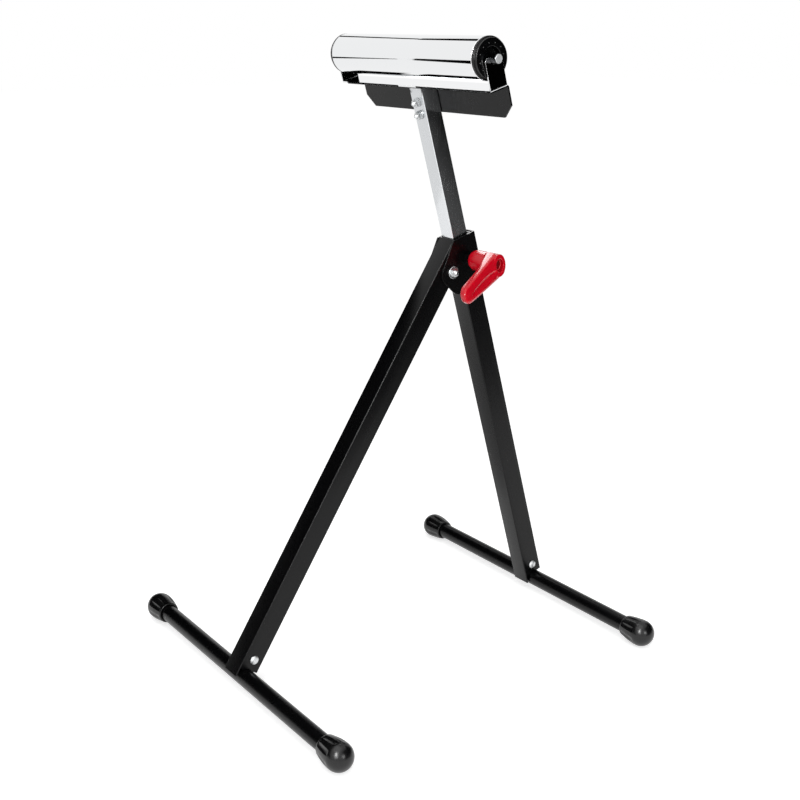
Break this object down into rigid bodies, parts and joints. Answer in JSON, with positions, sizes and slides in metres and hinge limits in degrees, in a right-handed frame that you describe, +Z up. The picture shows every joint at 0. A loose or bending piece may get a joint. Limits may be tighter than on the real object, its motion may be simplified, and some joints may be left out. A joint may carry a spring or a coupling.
{
  "type": "roller stand",
  "caption": "Folding A-frame roller stand: hinged square-tube legs, telescopic post with screw clamp lever, and a free-turning work roller in a yoke.",
  "frame": {"origin": "on the floor, midway between the axes of the two foot bars, under the middle of the roller", "axes": "+Z up, X along the roller with the clamp lever at +X, front foot at -Y"},
  "size_m": [0.524, 0.5634, 0.8472],
  "materials": {
    "black_paint": "gloss black powder coat",
    "chrome": "bright chrome plate",
    "zinc": "bright zinc plate",
    "rubber": "satin black moulded rubber",
    "black_plastic": "matt black moulded plastic",
    "red_plastic": "gloss red moulded plastic",
    "brass": "plain turned brass",
    "bearing_steel": "ground bearing steel"
  },
  "bodies": {
    "rear_frame": {"rear_leg": "black_paint", "hub_bracket": "black_paint", "clamp_nut": "black_paint", "pivot_bolt": "zinc", "pivot_washer_left": "zinc", "pivot_washer_right": "zinc", "pivot_nut": "zinc", "rear_foot_bar": "black_paint", "rear_foot_lug": "black_paint", "rear_foot_bolt": "zinc", "rear_foot_nut": "zinc", "rear_cap_right": "rubber", "rear_cap_left": "rubber"},
    "front_frame": {"front_leg": "black_paint", "pivot_sleeve": "zinc", "front_foot_bar": "black_paint", "front_foot_lug": "black_paint", "front_foot_bolt": "zinc", "front_foot_nut": "zinc", "front_cap_right": "rubber", "front_cap_left": "rubber"},
    "post_assembly": {"post_tube": "chrome", "post_plug": "black_plastic", "head_plate": "black_paint", "yoke": "chrome", "head_bolt_upper": "zinc", "head_washer_upper": "zinc", "head_nut_upper": "zinc", "head_bolt_lower": "zinc", "head_washer_lower": "zinc", "head_nut_lower": "zinc", "roller_axle": "zinc", "bearing_inner_right": "bearing_steel", "bearing_inner_left": "bearing_steel"},
    "roller": {"roller_tube": "chrome", "roller_end_cap_right": "black_plastic", "roller_end_cap_left": "black_plastic", "bearing_outer_right": "bearing_steel", "bearing_outer_left": "bearing_steel"},
    "clamp_tip": {"clamp_pad": "brass"},
    "lever": {"clamp_stud": "zinc", "clamp_lever": "red_plastic"}
  },
  "joints": [
    {"name": "front_leg_fold", "type": "hinge", "parent": "rear_frame", "child": "front_frame", "pos_m": [0, 0.08319, 0.53266], "axis": [1, 0, 0], "range_deg": [0, 49]},
    {"name": "post_slide", "type": "slide", "parent": "rear_frame", "child": "post_assembly", "axis": [0, -0.2773, 0.9608], "range_m": [-0.167, 0.195]},
    {"name": "roller_spin", "type": "hinge", "parent": "post_assembly", "child": "roller", "pos_m": [0, 0.02469, 0.82079], "axis": [1, 0, 0], "continuous": true},
    {"name": "clamp_screw", "type": "slide", "parent": "rear_frame", "child": "clamp_tip", "axis": [1, 0, 0], "range_m": [0, 0.00075]},
    {"name": "lever_turn", "type": "hinge", "parent": "clamp_tip", "child": "lever", "pos_m": [0, 0.10937, 0.54979], "axis": [1, 0, 0], "range_deg": [0, 180]}
  ],
  "couplings": [
    {"joint": "lever_turn", "follows": "clamp_screw", "rad_per_m": 4188.8}
  ]
}
